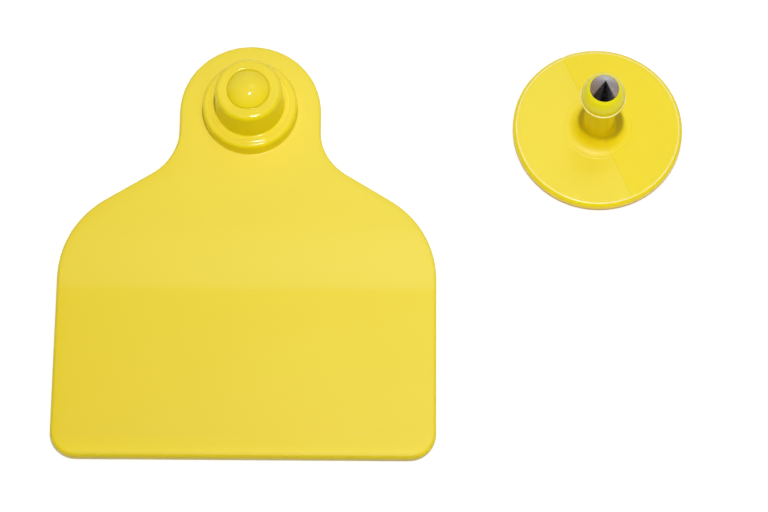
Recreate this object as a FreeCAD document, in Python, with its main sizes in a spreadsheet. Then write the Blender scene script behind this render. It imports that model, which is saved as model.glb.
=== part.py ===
import FreeCAD, Part
import Sketcher
import math
import os

# Two-piece livestock ear tag, laid out open: the flexible flag with its closed
# socket boss, and the male button with its piercing tip.
#
# Millimetres.  The origin is the centre of the socket's mouth, on the flag's back
# face.  +Z points out of the flag's front, +Y to the top of its round head.  Both
# halves rest on the plane Z = 0: the flag on its back, the button on its outer face.

SIZES = [
    # the flag's outline
    ("head_radius", 12.5, "radius of the round head that carries the boss"),
    ("neck_drop", 9.0, "from the boss's axis down to where the neck meets the shoulders"),
    ("shoulder_drop", 21.8, "from the boss's axis down to the shoulders' outer corners"),
    ("flag_width", 66.0, "width of the panel"),
    ("flag_drop", 63.7, "from the boss's axis down to the panel's lower edge"),
    ("neck_fillet", 9.8, "inside radius between neck and shoulder"),
    ("shoulder_fillet", 17.0, "outside radius between shoulder and side"),
    ("corner_fillet", 4.7, "radius of the lower corners"),
    # the flag's thickness
    ("head_thickness", 2.2, "thickness of the head, neck and shoulders"),
    ("panel_thickness", 1.8, "thickness of the panel below its taper"),
    ("taper_start", 23.0, "from the boss's axis down to where the taper starts"),
    ("taper_end", 32.3, "from the boss's axis down to where the taper ends"),
    ("face_edge", 0.6, "radius round the front face's edge"),
    ("back_edge", 0.25, "chamfer round the back face's edge"),
    # the socket boss
    ("ring_radius", 8.35, "radius of the boss's flange"),
    ("ring_height", 3.0, "height of the flange above the head"),
    ("ring_edge", 0.65, "rounding of the flange's rim"),
    ("ring_foot", 0.25, "chamfer between the flange and the head"),
    ("cup_base_radius", 6.1, "radius of the cup where it leaves the flange"),
    ("cup_top_radius", 5.85, "radius of the cup at its top"),
    ("cup_height", 9.65, "height of the cup above the head"),
    ("cup_edge", 0.85, "rounding of the cup's top"),
    ("cup_foot", 0.25, "chamfer between the cup and the flange"),
    ("dome_radius", 3.6, "radius of the dome at its foot"),
    ("dome_height", 1.35, "height of the dome above the cup"),
    ("dome_foot", 0.2, "chamfer in the valley round the dome"),
    # the hollow of the boss
    ("mouth_radius", 4.65, "radius inside the lip that holds the locking ring"),
    ("lip_height", 0.6, "height of that lip"),
    ("chamber_radius", 4.3, "radius of the chamber for the button's head"),
    ("chamber_top", 7.7, "height at which the chamber starts to narrow"),
    ("chamber_end", 11.4, "height of the chamber's end, under the dome"),
    ("chamber_end_radius", 1.7, "radius of the chamber's end"),
    # the locking ring
    ("lock_radius", 5.25, "outside radius of the locking ring's seat"),
    ("lock_thickness", 2.8, "thickness of the locking ring"),
    ("lock_bore", 3.0, "radius of the locking ring's hole"),
    ("lock_lead", 0.9, "size of the lead-in cone at the hole's mouth"),
    ("lock_edge", 0.3, "chamfer on the locking ring's rim"),
    ("seat_gap", 0.04, "clearance of the locking ring in its seat"),
    # the male button
    ("button_x", 61.5, "place of the button beside the flag"),
    ("button_y", -2.7, "place of the button along the flag"),
    ("disc_radius", 15.0, "radius of the button's disc"),
    ("disc_thickness", 2.0, "thickness of the disc"),
    ("disc_edge", 0.7, "rounding of the disc's inner rim"),
    ("disc_back_edge", 0.4, "chamfer on the disc's outer rim"),
    ("stem_radius", 2.7, "radius of the stem"),
    ("stem_length", 13.25, "from the disc to the underside of the head"),
    ("stem_foot", 2.95, "radius between stem and disc"),
    ("rim_radius", 3.92, "radius of the head's locking rim"),
    ("rim_thickness", 0.45, "thickness of that rim"),
    ("rim_edge", 0.12, "chamfer on the rim"),
    ("collar_radius", 3.75, "radius of the head above its rim"),
    ("collar_height", 1.2, "height of the straight collar above the rim"),
    ("nose_height", 2.5, "height of the head's nose above the collar"),
    ("nose_radius", 2.95, "radius of the lip at the nose's top"),
    ("nose_bulge", 0.17, "how far the nose swells beyond a straight cone"),
    ("pin_bore", 1.35, "radius of the bore for the applicator's pin"),
    ("pin_lead", 0.6, "chamfer at the pin bore's mouth"),
    # the piercing tip
    ("shank_radius", 1.7, "radius of the tip's shank"),
    ("shank_length", 3.4, "length of the shank in the head"),
    ("shank_groove", 0.4, "depth of the groove that keys the shank in the head"),
    ("groove_width", 0.8, "width of that groove"),
    ("groove_rise", 1.3, "from the shank's end up to the groove"),
    ("tip_radius", 2.5, "radius of the tip at its base"),
    ("tip_land", 0.2, "height of the tip's straight edge, sunk flush in the nose"),
    ("tip_height", 3.4, "height of the tip above the head"),
    ("point_radius", 0.12, "radius of the flat at the very point"),
]


class Size:
    """A number that also carries the spreadsheet expression that gives it."""

    def __init__(self, value, text):
        self.value = value
        self.text = text

    def joined(self, sign, other, value):
        text = other.text if isinstance(other, Size) else repr(other)
        return Size(value, f"({self.text} {sign} {text})")

    def __add__(self, other):
        return self.joined("+", other, self.value + number(other))

    def __sub__(self, other):
        return self.joined("-", other, self.value - number(other))

    def __mul__(self, other):
        return self.joined("*", other, self.value * number(other))

    def __neg__(self):
        return Size(-self.value, f"(-{self.text})")


def number(item):
    return item.value if isinstance(item, Size) else item


doc = FreeCAD.newDocument("ear_tag")
sheet = doc.addObject("Spreadsheet::Sheet", "Sizes")
size = {}
for row, (alias, value, note) in enumerate(SIZES, start=1):
    sheet.set(f"A{row}", alias)
    sheet.set(f"B{row}", str(value))
    sheet.set(f"C{row}", note)
    sheet.setAlias(f"B{row}", alias)
    size[alias] = Size(value, f"Sizes.{alias}")
doc.recompute()

ZERO = Size(0.0, "0")
ORIGIN = (-1, 1)
AXIS = {"across": -1, "up": -2}
EASE = 1 - math.cos(math.pi / 4)


# ---------------------------------------------------------------- sketch helpers

def new_body(name):
    body = doc.addObject("PartDesign::Body", name)
    body.Label = name
    return body


def new_sketch(body, name, plane):
    sketch = body.newObject("Sketcher::SketchObject", name)
    for feature in body.Origin.OriginFeatures:
        if feature.Role == plane:
            sketch.AttachmentSupport = (feature, "")
    sketch.MapMode = "FlatFace"
    return sketch


def bind(sketch, constraint, text):
    """Add a dimension and tie it to the spreadsheet."""
    index = sketch.addConstraint(constraint)
    name = f"size_{index}"
    sketch.renameConstraint(index, name)
    sketch.setExpression(f"Constraints.{name}", text)


def place_point(sketch, line, end, across, along):
    """Fix one end of a line at (across, along) from the sketch's origin."""
    for kind, other_axis, where in (("DistanceX", AXIS["up"], across), ("DistanceY", AXIS["across"], along)):
        if where.text == "0":
            sketch.addConstraint(Sketcher.Constraint("PointOnObject", line, end, other_axis))
        elif where.value > 0:
            bind(sketch, Sketcher.Constraint(kind, *ORIGIN, line, end, where.value), where.text)
        else:
            flipped = -where
            bind(sketch, Sketcher.Constraint(kind, line, end, *ORIGIN, flipped.value), flipped.text)


def closed_profile(body, name, plane, corners, arc_after=None):
    """A sketch through the corners, closed.  arc_after gives, for the run that
    starts at that corner, the distance of an arc's centre below the run's end."""
    sketch = new_sketch(body, name, plane)
    spots = [FreeCAD.Vector(across.value, along.value, 0) for across, along in corners]
    count = len(corners)
    for index in range(count):
        start, end = spots[index], spots[(index + 1) % count]
        if arc_after and index in arc_after:
            reach = start.distanceToPoint(FreeCAD.Vector(0, start.y, 0))
            rise = end.y - start.y
            radius = (reach ** 2 + rise ** 2) / (2 * rise)
            middle = FreeCAD.Vector(0, end.y - radius, 0)
            first = math.atan2(start.y - middle.y, start.x)
            circle = Part.Circle(middle, FreeCAD.Vector(0, 0, 1), radius)
            sketch.addGeometry(Part.ArcOfCircle(circle, first, math.pi / 2))
        else:
            sketch.addGeometry(Part.LineSegment(start, end))
    for index in range(count):
        following = (index + 1) % count
        sketch.addConstraint(Sketcher.Constraint("Coincident", index, 2, following, 1))
        place_point(sketch, index, 1, *corners[index])
        if arc_after and index in arc_after:
            sketch.addConstraint(Sketcher.Constraint("PointOnObject", index, 3, AXIS["up"]))
    doc.recompute()
    return sketch


def eased(radius, height, edge):
    """The outer corner of a turned profile, its rounding drawn as two flats."""
    inside = edge * EASE
    return [(radius, height - edge), (radius - inside, height - inside), (radius - edge, height)]


def hollowed(radius, height, foot):
    """The hollow corner between a face and the post that stands on it, drawn as four flats."""
    line = []
    for step in range(5):
        turn = math.radians(22.5 * step)
        line.append((radius + foot * (1 - math.sin(turn)), height + foot * (1 - math.cos(turn))))
    return line


def turned(body, kind, name, sketch):
    """Turn a profile round the body's axis, adding or cutting."""
    feature = body.newObject(f"PartDesign::{kind}", name)
    feature.Profile = sketch
    feature.ReferenceAxis = (sketch, ["V_Axis"])
    feature.Angle = 360
    doc.recompute()
    return feature


def dressed(body, kind, name, edges, amount):
    """Give edges of the body's latest feature a Fillet or a Chamfer."""
    base = body.Tip
    feature = body.newObject(f"PartDesign::{kind}", name)
    feature.Base = (base, edges)
    feature.setExpression({"Fillet": "Radius", "Chamfer": "Size"}[kind], amount.text)
    doc.recompute()
    return feature


def edges_where(shape, test):
    return [f"Edge{index}" for index, edge in enumerate(shape.Edges, start=1) if test(edge)]


def near(one, other):
    return abs(one - number(other)) < 1e-3


def rim_edges(body, radius, height):
    """The full circles of a turned body at this radius and height."""
    def is_rim(edge):
        if edge.Degenerated or not isinstance(edge.Curve, Part.Circle):
            return False
        curve = edge.Curve
        on_axis = near(curve.Center.x, 0) and near(curve.Center.y, 0)
        return on_axis and near(curve.Radius, radius) and near(curve.Center.z, height)
    return edges_where(body.Shape, is_rim)


def upright_edges(body, across, along):
    """The edges along Z at (+-across, along)."""
    def is_upright(edge):
        first, last = edge.Vertexes[0].Point, edge.Vertexes[-1].Point
        if not (near(first.x, last.x) and near(first.y, last.y)):
            return False
        return near(abs(first.x), across) and near(first.y, along)
    return edges_where(body.Shape, is_upright)


# --------------------------------------------------------------------- ear flag

def flag_outline(body):
    """Round head, straight neck, sloping shoulders and a nearly square panel."""
    sketch = new_sketch(body, "flag_outline", "XY_Plane")
    radius = size["head_radius"].value
    half = size["flag_width"].value / 2
    neck = -size["neck_drop"].value
    shoulder = -size["shoulder_drop"].value
    foot = -size["flag_drop"].value
    circle = Part.Circle(FreeCAD.Vector(0, 0, 0), FreeCAD.Vector(0, 0, 1), radius)
    sketch.addGeometry(Part.ArcOfCircle(circle, 0, math.pi))
    bends = [(-radius, 0), (-radius, neck), (-half, shoulder), (-half, foot),
             (half, foot), (half, shoulder), (radius, neck), (radius, 0)]
    for start, end in zip(bends, bends[1:]):
        sketch.addGeometry(Part.LineSegment(FreeCAD.Vector(*start, 0), FreeCAD.Vector(*end, 0)))
    head, left_neck, left_shoulder, left_side, lower, right_side, right_shoulder, right_neck = range(8)
    chain = [head, left_neck, left_shoulder, left_side, lower, right_side, right_shoulder, right_neck]
    for one, following in zip(chain, chain[1:] + chain[:1]):
        sketch.addConstraint(Sketcher.Constraint("Coincident", one, 2, following, 1))
    sketch.addConstraint(Sketcher.Constraint("Coincident", head, 3, *ORIGIN))
    for end in (1, 2):
        sketch.addConstraint(Sketcher.Constraint("PointOnObject", head, end, AXIS["across"]))
    for line in (left_neck, right_neck, left_side, right_side):
        sketch.addConstraint(Sketcher.Constraint("Vertical", line))
    sketch.addConstraint(Sketcher.Constraint("Symmetric", lower, 1, lower, 2, AXIS["up"]))
    bind(sketch, Sketcher.Constraint("Radius", head, radius), size["head_radius"].text)
    bind(sketch, Sketcher.Constraint("DistanceX", lower, 1, lower, 2, 2 * half),
         size["flag_width"].text)
    drops = [(left_neck, 2, "neck_drop"), (right_neck, 1, "neck_drop"),
             (left_shoulder, 2, "shoulder_drop"), (right_shoulder, 1, "shoulder_drop"),
             (lower, 1, "flag_drop")]
    for line, end, alias in drops:
        drop = size[alias]
        bind(sketch, Sketcher.Constraint("DistanceY", line, end, *ORIGIN, drop.value), drop.text)
    doc.recompute()
    return sketch


def ear_flag():
    """The flag and its boss are one moulding; the locking ring snaps in from behind."""
    body = new_body("ear_flag")
    head_top = size["head_thickness"]
    panel_top = size["panel_thickness"]
    half_width = size["flag_width"] * 0.5

    blank = body.newObject("PartDesign::Pad", "flag_blank")
    blank.Profile = flag_outline(body)
    blank.setExpression("Length", head_top.text)
    doc.recompute()
    dressed(body, "Fillet", "neck_fillets",
            upright_edges(body, size["head_radius"], -size["neck_drop"]), size["neck_fillet"])
    dressed(body, "Fillet", "shoulder_fillets",
            upright_edges(body, half_width, -size["shoulder_drop"]), size["shoulder_fillet"])
    dressed(body, "Fillet", "corner_fillets",
            upright_edges(body, half_width, -size["flag_drop"]), size["corner_fillet"])

    # The panel is thinner than the head: a shallow ramp across it joins the two.
    beyond = -(size["flag_drop"] + size["head_thickness"])
    above = head_top + size["head_thickness"]
    ramp = closed_profile(body, "taper_profile", "YZ_Plane", [
        (-size["taper_start"], head_top), (-size["taper_end"], panel_top),
        (beyond, panel_top), (beyond, above), (-size["taper_start"], above)])
    taper = body.newObject("PartDesign::Pocket", "taper")
    taper.Profile = ramp
    taper.Midplane = True
    taper.setExpression("Length", (size["flag_width"] * 2).text)
    doc.recompute()

    # Every edge of the front face, then every edge of the back face.
    def on_the_front(edge):
        box = edge.BoundBox
        middle = edge.valueAt((edge.FirstParameter + edge.LastParameter) / 2)
        outline = box.ZMin > panel_top.value - 1e-3
        inside = abs(middle.x) < half_width.value - 1e-3
        crossing = inside and near(box.YMin, box.YMax) and middle.y > -size["flag_drop"].value + 1e-3
        return outline and not crossing

    dressed(body, "Fillet", "front_edge", edges_where(body.Shape, on_the_front), size["face_edge"])
    dressed(body, "Chamfer", "back_edge",
            edges_where(body.Shape, lambda edge: near(edge.BoundBox.ZMax, 0)), size["back_edge"])

    # The boss: flange, cup and dome, turned about the socket's axis.
    flange_top = head_top + size["ring_height"]
    cup_top = head_top + size["cup_height"]
    dome_top = cup_top + size["dome_height"]
    root = head_top * 0.5
    profile = [(ZERO, root), (size["ring_radius"], root)]
    profile += eased(size["ring_radius"], flange_top, size["ring_edge"])
    profile += [(size["cup_base_radius"], flange_top)]
    profile += eased(size["cup_top_radius"], cup_top, size["cup_edge"])
    dome_start = len(profile)
    profile += [(size["dome_radius"], cup_top), (ZERO, dome_top)]
    boss = closed_profile(body, "boss_profile", "XZ_Plane", profile, arc_after=[dome_start])
    turned(body, "Revolution", "boss", boss)
    for name, radius, height in [
            ("ring_foot", size["ring_radius"], head_top),
            ("cup_foot", size["cup_base_radius"], flange_top),
            ("dome_foot", size["dome_radius"], cup_top)]:
        dressed(body, "Chamfer", name, rim_edges(body, radius, height), size[name])

    # The hollow, from the back: lip, seat of the locking ring, chamber for the head.
    seat_top = size["lip_height"] + size["lock_thickness"]
    below = -size["head_thickness"]
    hollow = closed_profile(body, "hollow_profile", "XZ_Plane", [
        (ZERO, below), (size["mouth_radius"], below),
        (size["mouth_radius"], size["lip_height"]), (size["lock_radius"], size["lip_height"]),
        (size["lock_radius"], seat_top), (size["chamber_radius"], seat_top),
        (size["chamber_radius"], size["chamber_top"]),
        (size["chamber_end_radius"], size["chamber_end"]), (ZERO, size["chamber_end"])])
    turned(body, "Groove", "hollow", hollow)
    return body


# ----------------------------------------------------------------- locking ring

def locking_ring():
    """Hard ring whose hole the button's head snaps through."""
    body = new_body("locking_ring")
    gap = size["seat_gap"]
    low = size["lip_height"]
    high = low + size["lock_thickness"]
    edge = size["lock_edge"]
    rim = size["lock_radius"] - gap
    ring = closed_profile(body, "ring_profile", "XZ_Plane", [
        (size["lock_bore"], low + size["lock_lead"]),
        (size["lock_bore"] + size["lock_lead"], low),
        (rim - edge, low), (rim, low + edge), (rim, high - edge), (rim - edge, high),
        (size["lock_bore"], high)])
    turned(body, "Revolution", "ring", ring)
    return body


# ------------------------------------------------------------------ male button

def button_heights():
    """Heights along the button, from its outer face."""
    rim = size["disc_thickness"] + size["stem_length"]
    collar = rim + size["rim_thickness"]
    cone = collar + size["collar_height"]
    nose = cone + size["nose_height"]
    seat = nose - size["tip_land"]
    return rim, collar, cone, nose, seat


def swelling_nose(cone, nose):
    """The nose's line from the collar to its lip, drawn as two flats."""
    middle = (size["collar_radius"] + size["nose_radius"]) * 0.5 + size["nose_bulge"]
    return [(size["collar_radius"], cone), (middle, cone + size["nose_height"] * 0.5),
            (size["nose_radius"], nose)]


def keyed_shank(seat):
    """The stepped line of the shank and its groove, from its end up to the tip's seat."""
    shank = seat - size["shank_length"]
    wall = size["shank_radius"]
    neck = wall - size["shank_groove"]
    groove = shank + size["groove_rise"]
    return [(wall, shank), (wall, groove), (neck, groove),
            (neck, groove + size["groove_width"]), (wall, groove + size["groove_width"]),
            (wall, seat)]


def male_button():
    """Disc, stem and arrow head in one moulding, bored for the applicator's pin."""
    body = new_body("male_button")
    rim, collar, cone, nose, seat = button_heights()
    shank = seat - size["shank_length"]
    top = size["disc_thickness"]
    profile = [(size["pin_bore"] + size["pin_lead"], ZERO), (size["disc_radius"], ZERO)]
    profile += eased(size["disc_radius"], top, size["disc_edge"])
    profile += hollowed(size["stem_radius"], top, size["stem_foot"])
    profile += [
        (size["stem_radius"], rim), (size["rim_radius"], rim),
        (size["rim_radius"], collar), (size["collar_radius"], collar)]
    profile += swelling_nose(cone, nose)
    profile += [(size["tip_radius"], nose), (size["tip_radius"], seat)]
    profile += reversed(keyed_shank(seat))
    profile += [(size["pin_bore"], shank), (size["pin_bore"], size["pin_lead"])]
    turned(body, "Revolution", "button", closed_profile(body, "button_profile", "XZ_Plane", profile))
    for name, radius, height in [
            ("disc_back_edge", size["disc_radius"], ZERO),
            ("rim_edge", size["rim_radius"], collar)]:
        dressed(body, "Chamfer", name, rim_edges(body, radius, height), size[name])
    return body


# ----------------------------------------------------------------- piercing tip

def piercing_tip():
    """Turned metal cone whose grooved shank is moulded into the button's head."""
    body = new_body("piercing_tip")
    _, _, _, nose, seat = button_heights()
    base = size["tip_radius"]
    point = nose + size["tip_height"]
    profile = [(ZERO, seat - size["shank_length"])] + keyed_shank(seat)
    profile += [(base, seat), (base, nose), (size["point_radius"], point), (ZERO, point)]
    turned(body, "Revolution", "tip", closed_profile(body, "tip_profile", "XZ_Plane", profile))
    return body


flag = ear_flag()
ring = locking_ring()
button = male_button()
tip = piercing_tip()
for half in (button, tip):
    half.setExpression("Placement.Base.x", size["button_x"].text)
    half.setExpression("Placement.Base.y", size["button_y"].text)
doc.recompute()

for item in doc.Objects:
    if "Invalid" in item.State or "Error" in item.State:
        raise RuntimeError(f"{item.Name} is in state {item.State}")
os.makedirs("parts", exist_ok=True)
for body in (flag, ring, button, tip):
    if body.Shape.isNull() or not body.Shape.isValid():
        raise RuntimeError(f"{body.Label} has no valid shape")
for body in (flag, ring, button, tip):
    body.Shape.exportStep(f"parts/{body.Label}.step")
    box = body.Shape.BoundBox
    print(f"{body.Label}: {body.Shape.Volume:.1f} mm3, {len(body.Shape.Solids)} solid, "
          f"{box.XLength:.2f} x {box.YLength:.2f} x {box.ZLength:.2f} mm")
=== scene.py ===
import math

import bmesh
import bpy
from mathutils import Matrix, Vector
from mathutils.geometry import delaunay_2d_cdt


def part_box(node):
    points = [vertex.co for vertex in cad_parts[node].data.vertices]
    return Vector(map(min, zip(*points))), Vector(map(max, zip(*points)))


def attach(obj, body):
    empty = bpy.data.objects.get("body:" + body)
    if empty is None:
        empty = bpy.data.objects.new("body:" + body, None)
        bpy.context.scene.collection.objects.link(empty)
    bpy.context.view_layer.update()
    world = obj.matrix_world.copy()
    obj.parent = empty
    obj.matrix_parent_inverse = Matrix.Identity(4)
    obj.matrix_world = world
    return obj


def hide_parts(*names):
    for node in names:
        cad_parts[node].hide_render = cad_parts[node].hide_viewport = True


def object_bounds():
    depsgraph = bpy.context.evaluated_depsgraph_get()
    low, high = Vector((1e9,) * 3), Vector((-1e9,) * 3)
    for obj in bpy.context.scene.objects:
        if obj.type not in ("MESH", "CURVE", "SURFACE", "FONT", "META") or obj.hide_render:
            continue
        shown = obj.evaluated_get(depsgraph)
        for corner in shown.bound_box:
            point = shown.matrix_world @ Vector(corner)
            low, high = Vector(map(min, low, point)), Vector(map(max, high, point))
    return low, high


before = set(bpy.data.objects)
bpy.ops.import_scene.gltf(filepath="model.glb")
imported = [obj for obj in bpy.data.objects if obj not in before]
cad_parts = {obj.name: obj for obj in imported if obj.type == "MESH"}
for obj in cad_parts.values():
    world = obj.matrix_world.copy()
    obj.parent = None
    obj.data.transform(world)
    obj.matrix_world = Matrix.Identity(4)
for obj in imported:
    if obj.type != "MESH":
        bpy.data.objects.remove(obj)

CAD_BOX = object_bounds()

# A two-piece livestock ear tag, laid out open: the flexible flag with its closed
# socket boss on the left, the button with its stem and metal tip on the right.
# Lengths are millimetres in the meshes and in the materials' masks, and metres in
# the camera, the lamps and the world.
MM = 0.001


def node_box(node):
    """Lowest and highest corners of a CAD node, in millimetres."""
    low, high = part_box(node)
    return low / MM, high / MM


FLAG_LOW, FLAG_HIGH = node_box("ear_flag")
BUTTON_LOW, BUTTON_HIGH = node_box("male_button")
TIP_LOW, TIP_HIGH = node_box("piercing_tip")

# The flag's outline, thickness and edges
HEAD_RADIUS = FLAG_HIGH.y
HALF_WIDTH = FLAG_HIGH.x
FLAG_DROP = -FLAG_LOW.y
NECK_DROP = 9.0
SHOULDER_DROP = 21.8
NECK_FILLET = 9.8
SHOULDER_FILLET = 17.0
CORNER_FILLET = 4.7
HEAD_THICKNESS = 2.2
PANEL_THICKNESS = 1.8
TAPER_START = 23.0
TAPER_END = 32.3
TAPER_SOFTNESS = 0.9
FACE_EDGE = 0.6
BACK_EDGE = 0.25

# The fine ridge round the flag's sides, where its mould closes
SEAM_HEIGHT = PANEL_THICKNESS * 0.45
SEAM_RIDGE = 0.03
SEAM_CREST = 0.04
SEAM_FOOT = 0.12

# Slow waves in the flag's face: radians a millimetre along x and y, and the start.
# They grow between two distances from the boss's axis.
FACE_WAVE = 0.012
FACE_WAVES = ((0.31, 0.12, 0.0), (-0.05, 0.47, 1.1), (0.19, -0.26, 2.3))
WAVES_START = 9.0
WAVES_FULL = 14.0

# The boss: flange, cup and dome
RING_RADIUS = 8.35
RING_TOP = HEAD_THICKNESS + 3.0
RING_EDGE = 0.65
FOOT_RADIUS = 0.25
CUP_BASE_RADIUS = 6.1
CUP_TOP_RADIUS = 5.85
CUP_TOP = HEAD_THICKNESS + 9.65
CUP_EDGE = 0.85
DOME_RADIUS = 3.6
DOME_TOP = FLAG_HIGH.z
DOME_VALLEY = 0.2
DOME_GROOVE = 0.1
# the groove's outer wall: how far out from the valley and below the cup's top
GROOVE_WALL = ((0.14, 0.02), (0.07, DOME_GROOVE - 0.02))
GROOVE_REACH = 0.22

# The boss's hollow
MOUTH_RADIUS = 4.65
MOUTH_EDGE = 0.15
LIP_HEIGHT = 0.6
SEAT_RADIUS = 5.25
SEAT_TOP = 3.4
CHAMBER_RADIUS = 4.3
CHAMBER_TOP = 7.7
CHAMBER_END = 11.4
CHAMBER_END_RADIUS = 1.7

# The button's disc and stem
DISC_RADIUS = (BUTTON_HIGH.x - BUTTON_LOW.x) / 2
BUTTON_X = (BUTTON_HIGH.x + BUTTON_LOW.x) / 2
BUTTON_Y = (BUTTON_HIGH.y + BUTTON_LOW.y) / 2
DISC_TOP = 2.0
DISC_EDGE = 0.7
DISC_BACK_EDGE = 0.4
DISC_RINGS = (4.0, 8.0, 12.0)
STEM_RADIUS = 2.7
STEM_FOOT = 2.95
STEM_RINGS = (6.5, 9.0, 11.5, 13.5)
# the fine ridge round the stem's foot: distance from its crest, and height
ROOT_RIDGE = ((0.12, 0.0), (0.05, 0.022), (0.0, 0.03), (-0.05, 0.022), (-0.12, 0.0))
ROOT_GAP = 0.2

# The button's head
RIM_BOTTOM = DISC_TOP + 13.25
RIM_TOP = RIM_BOTTOM + 0.45
RIM_RADIUS = 3.92
RIM_UNDERCUT = 0.08
# the rim's rounded crest: how far in and how far down its points lie
RIM_CREST = ((0.0, 0.12), (0.02, 0.06), (0.05, 0.03))
COLLAR_RADIUS = 3.75
COLLAR_TOP = RIM_TOP + 1.2
COLLAR_RING = 0.3
NOSE_TOP = BUTTON_HIGH.z
NOSE_RADIUS = 2.95
NOSE_BULGE = 0.18
NOSE_LIP = 0.4
LIP_SHARES = (0.1, 0.4, 0.7, 0.96)
PIN_BORE = 1.35
PIN_LEAD = 0.6

# The line across the button where its mould parts: a step and a groove on the face,
# a flash down the stem, and a nick in the rim
PARTING_TURN = math.radians(-65.7)
HALF_STEP = 0.022
STEP_WIDTH = 0.1
FACE_GROOVE = 0.021
FLASH = 0.035
FLASH_WIDTH = 0.07
RIM_SINK = 0.02
NICK_DEPTH = 0.16
NICK_PLACE = 0.25
NICK_WIDTH = 0.22
NICK_RISE = (0.9, 1.5)
# distances from the parting plane at which each ring has its closely spaced points
SEAM_OFFSETS = (-0.7, -0.4, -0.22, -0.12, -0.06, -0.02, 0.02, 0.06, 0.12, 0.22, 0.4, 0.7)
SEAM_SINE = 0.6
# how far the step and the flash keep from the edges that they run up to
FACE_MARGIN = 0.05
SIDE_MARGIN = 0.2
FOOT_MARGIN = 0.3
HEAD_MARGIN = 1.0

# The metal tip and its keyed shank
TIP_RADIUS = (TIP_HIGH.x - TIP_LOW.x) / 2
TIP_TOP = TIP_HIGH.z
TIP_POINT = 0.12
POINT_SHARE = 0.7
TIP_GAP = 0.01
TIP_EDGE_IN = 0.04
TIP_EDGE_UP = 0.03
TIP_SEAT = NOSE_TOP - 0.2
SHANK_RADIUS = 1.7
SHANK_LOW = TIP_SEAT - 3.4
SHANK_GROOVE = 0.4
GROOVE_LOW = SHANK_LOW + 1.3
GROOVE_HIGH = GROOVE_LOW + 0.8

# Uneven lathe rings: radians a millimetre, share and start of each wave.  Each turned
# face has its depth of marks, the pitch of its points and a gap to its rounded edges,
# and the tip's marks are TIP_PACE times as fine as the others.
TOOL_WAVES = ((14.2, 1.0, 0.0), (23.7, 0.5, 1.3), (7.9, 0.5, 0.4))
TOOL_PEAK = 2.1
RING_MARKS = 0.04
CUP_MARKS = 0.022
BOSS_PITCH = 0.05
BOSS_GAP = 0.05
DISC_MARKS = 0.003
DISC_PITCH = 0.14
DISC_GAP = 0.1
TIP_MARKS = 0.0022
TIP_PACE = 4

# How finely the meshes are divided: points round a turned piece, steps along each
# stretch of an outline or a section, and spacing of the nets in the flat faces
SEGMENTS = 192
TIP_SEGMENTS = 128
STEPS = {"head": 40, "neck": 20, "shoulder": 28, "side": 24, "corner": 20, "bottom": 26,
         "face_edge": 6, "back_edge": 4, "foot": 6, "ring_edge": 10, "cup_edge": 12, "valley": 8,
         "dome": 22, "disc_back": 6, "disc_edge": 10, "root": 20, "nose": 18, "cone": 60}
FACE_NET = 1.6
BACK_NET = 3.0
NET_MARGIN = 0.6
WELD = 1e-4
SHARP_ANGLE = math.radians(32)


# ------------------------------------------------------------------ mesh helpers

def smoothstep(low, high, value):
    """0 below low, 1 above high, and an even curve between them."""
    share = min(max((value - low) / (high - low), 0.0), 1.0)
    return share * share * (3 - 2 * share)


def soft_ramp(value, soft):
    """Zero below zero and the value itself above, with a curve of half-width soft."""
    if value <= -soft:
        return 0.0
    if value >= soft:
        return value
    return (value + soft) ** 2 / (4 * soft)


def arc(centre, radius, start, end, steps):
    """Points of an arc in (radius, height), angles in degrees."""
    points = []
    for step in range(steps + 1):
        angle = math.radians(start + (end - start) * step / steps)
        points.append((centre[0] + radius * math.cos(angle), centre[1] + radius * math.sin(angle)))
    return points


def between(start, end, count):
    """Points strictly between two others."""
    return [(start[0] + (end[0] - start[0]) * step / (count + 1),
             start[1] + (end[1] - start[1]) * step / (count + 1)) for step in range(1, count + 1)]


def circle(radius):
    """Points round the boss's axis, one for each segment."""
    turns = [math.tau * step / SEGMENTS for step in range(SEGMENTS)]
    return [tuple(radius * Vector((math.cos(turn), math.sin(turn)))) for turn in turns]


def tool_marks(radius, depth):
    """Height of the fine uneven rings that a lathe leaves at this radius."""
    wave = sum(share * math.sin(radius * pace + start) for pace, share, start in TOOL_WAVES)
    return depth * wave / TOOL_PEAK


def turned_land(outer, inner, height, depth, pitch):
    """A flat land of a turned face, with its tool marks, from outer to inner radius."""
    count = max(2, round(abs(outer - inner) / pitch))
    points = []
    for step in range(count + 1):
        radius = outer + (inner - outer) * step / count
        fade = min(1.0, 4.0 * min(step, count - step) / count)
        points.append((radius, height + fade * tool_marks(radius, depth)))
    return points


def add_lathe(mesh, profile, segments=SEGMENTS, centre=(0, 0), angle_of=None, shape=None):
    """Turn (radius, height) points about the axis through centre.  A radius of zero
    closes the surface with a fan.  angle_of and shape let a piece vary round the turn."""
    rings = []
    for radius, height in profile:
        if radius == 0:
            rings.append([mesh.verts.new((centre[0], centre[1], height))])
            continue
        ring = []
        for step in range(segments):
            angle = angle_of(radius, step) if angle_of else math.tau * step / segments
            spot = Vector((radius * math.cos(angle), radius * math.sin(angle), height))
            if shape:
                spot = shape(spot)
            ring.append(mesh.verts.new((spot.x + centre[0], spot.y + centre[1], spot.z)))
        rings.append(ring)
    for one, other in zip(rings, rings[1:]):
        for step in range(segments):
            after = (step + 1) % segments
            if len(one) == 1:
                mesh.faces.new((one[0], other[step], other[after]))
            elif len(other) == 1:
                mesh.faces.new((one[step], other[0], one[after]))
            else:
                mesh.faces.new((one[step], other[step], other[after], one[after]))


def add_loops(mesh, loops):
    """Join closed loops of equal length, each a list of points."""
    rings = [[mesh.verts.new(point) for point in loop] for loop in loops]
    for one, other in zip(rings, rings[1:]):
        for step in range(len(one)):
            after = (step + 1) % len(one)
            mesh.faces.new((one[step], other[step], other[after], one[after]))


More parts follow.
